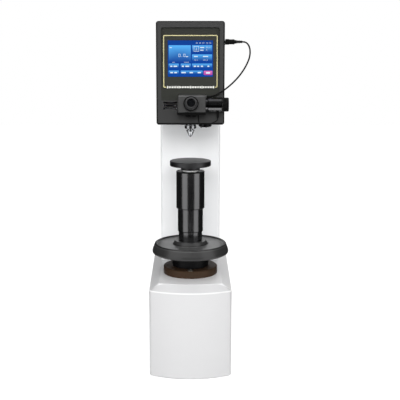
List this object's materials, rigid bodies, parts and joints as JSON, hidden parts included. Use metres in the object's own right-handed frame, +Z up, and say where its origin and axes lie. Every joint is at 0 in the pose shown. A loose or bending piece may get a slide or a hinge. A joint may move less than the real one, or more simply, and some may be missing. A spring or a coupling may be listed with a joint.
{
  "type": "hardness tester",
  "caption": "Bench ball-indentation hardness tester: C-frame, screw-raised anvil with handwheel and telescopic sleeve, turret, touch screen and measuring eyepiece.",
  "frame": {"origin": "where the load axis meets the underside of the base", "axes": "+Z up along the load axis, -Y toward the operator, +X to the operator's right"},
  "size_m": [0.2618, 0.5112, 0.925],
  "materials": {
    "pale_paint": "satin",
    "black_moulding": "satin",
    "black_oxide": "polished black oxide",
    "black_enamel": "gloss",
    "ground_steel": "ground",
    "dark_anvil_steel": "ground and blackened",
    "bright_chrome": "polished",
    "brown_oxide": "gloss",
    "bronze": "machined",
    "screen_glass": "smooth",
    "lens_glass": "polished",
    "rubber_lead": "smooth",
    "aluminium": "machined",
    "circuit_board": "matt",
    "black_anodised": "anodised",
    "switch_plastic": "gloss"
  },
  "bodies": {
    "frame": {"base_casting": "pale_paint", "column_casting": "pale_paint", "head_casting": "pale_paint", "rear_cover": "pale_paint", "rear_cover_screws": "ground_steel", "front_cover": "black_moulding", "face_panel": "black_moulding", "touch_screen": "screen_glass", "display_module": "black_moulding", "control_board": "circuit_board", "eyepiece_block": "black_anodised", "eyepiece_ledge": "black_anodised", "drum_flange": "black_anodised", "drum_barrel": "black_anodised", "drum_strain_relief": "rubber_lead", "plug_socket": "bright_chrome", "plug_body": "black_anodised", "plug_boot": "rubber_lead", "signal_lead": "rubber_lead", "lamp_lead": "rubber_lead", "drum_lead": "rubber_lead", "lead_grommets": "rubber_lead", "turret_axle": "ground_steel", "spindle_bush": "bronze", "guide_rods": "ground_steel", "load_top_plate": "aluminium", "drive_motor": "black_anodised", "collar": "brown_oxide", "collar_screws": "ground_steel", "thrust_bearing": "ground_steel", "guide_key": "ground_steel", "power_inlet": "switch_plastic", "data_port": "bright_chrome"},
    "wheel": {"handwheel": "black_enamel", "wheel_hub": "black_oxide", "screw_nut": "bronze", "sleeve_inner": "black_oxide"},
    "screw": {"elevating_screw": "ground_steel", "anvil": "dark_anvil_steel", "sleeve_outer": "black_oxide"},
    "middle_sleeve": {"sleeve_middle": "black_oxide"},
    "turret": {"turret_disc": "ground_steel", "objective_barrel": "black_anodised", "objective_lens": "lens_glass"},
    "indenter": {"indenter_shaft": "ground_steel", "indenter_chuck": "bright_chrome", "ball_holder": "bright_chrome", "test_ball": "bright_chrome"},
    "drive_screw": {"drive_screw": "ground_steel"},
    "load_train": {"load_crosshead": "aluminium", "load_cell": "aluminium", "load_spindle": "ground_steel"},
    "measuring_knob": {"measuring_knob": "black_anodised"},
    "graticule": {"graticule_carriage": "aluminium"},
    "data_button": {"data_button": "switch_plastic"},
    "lock_knob": {"lock_knob": "black_anodised"},
    "dioptre": {"dioptre_ring": "black_anodised", "eye_lens": "lens_glass"},
    "rocker": {"power_rocker": "switch_plastic"}
  },
  "joints": [
    {"name": "wheel_turn", "type": "hinge", "parent": "frame", "child": "wheel", "pos_m": [0, 0, 0.3], "axis": [0, 0, 1], "range_deg": [-2520, 3060]},
    {"name": "screw_lift", "type": "slide", "parent": "frame", "child": "screw", "axis": [0, 0, 1], "range_m": [-0.0685, 0.0565]},
    {"name": "sleeve_follow", "type": "slide", "parent": "frame", "child": "middle_sleeve", "axis": [0, 0, 1], "range_m": [-0.0257, 0.0213]},
    {"name": "turret_turn", "type": "hinge", "parent": "frame", "child": "turret", "pos_m": [0.0195, 0.0195, 0.677], "axis": [0, 0, 1], "range_deg": [-90, 0]},
    {"name": "indenter_stroke", "type": "slide", "parent": "turret", "child": "indenter", "axis": [0, 0, -1], "range_m": [0, 0.0031]},
    {"name": "drive_turn", "type": "hinge", "parent": "frame", "child": "drive_screw", "pos_m": [0, 0, 0.83], "axis": [0, 0, 1], "range_deg": [0, 275]},
    {"name": "load_stroke", "type": "slide", "parent": "frame", "child": "load_train", "axis": [0, 0, -1], "range_m": [0, 0.003]},
    {"name": "knob_turn", "type": "hinge", "parent": "frame", "child": "measuring_knob", "pos_m": [0.09, -0.118, 0.7186], "axis": [1, 0, 0], "range_deg": [-1440, 1440]},
    {"name": "graticule_slide", "type": "slide", "parent": "frame", "child": "graticule", "axis": [1, 0, 0], "range_m": [-0.0041, 0.0041]},
    {"name": "button_press", "type": "slide", "parent": "frame", "child": "data_button", "axis": [0, 0, -1], "range_m": [0, 0.0015], "stiffness_N_per_m": 200, "springref_m": -0.002},
    {"name": "lock_turn", "type": "hinge", "parent": "frame", "child": "lock_knob", "pos_m": [0.0015, -0.118, 0.69], "axis": [0, 0, 1], "range_deg": [0, 270]},
    {"name": "dioptre_turn", "type": "hinge", "parent": "frame", "child": "dioptre", "pos_m": [0.0015, -0.136, 0.722], "axis": [0, -0.9781, 0.2079], "range_deg": [-150, 150]},
    {"name": "rocker_tilt", "type": "hinge", "parent": "frame", "child": "rocker", "pos_m": [-0.03, 0.349, 0.109], "axis": [1, 0, 0], "range_deg": [0, 20]}
  ],
  "couplings": [
    {"joint": "screw_lift", "follows": "wheel_turn", "m_per_rad": -0.0012732},
    {"joint": "sleeve_follow", "follows": "wheel_turn", "m_per_rad": -0.00047746},
    {"joint": "drive_turn", "follows": "load_stroke", "rad_per_m": 1570.8},
    {"joint": "indenter_stroke", "follows": "load_stroke", "ratio": 1},
    {"joint": "graticule_slide", "follows": "knob_turn", "m_per_rad": 0.00015915}
  ]
}
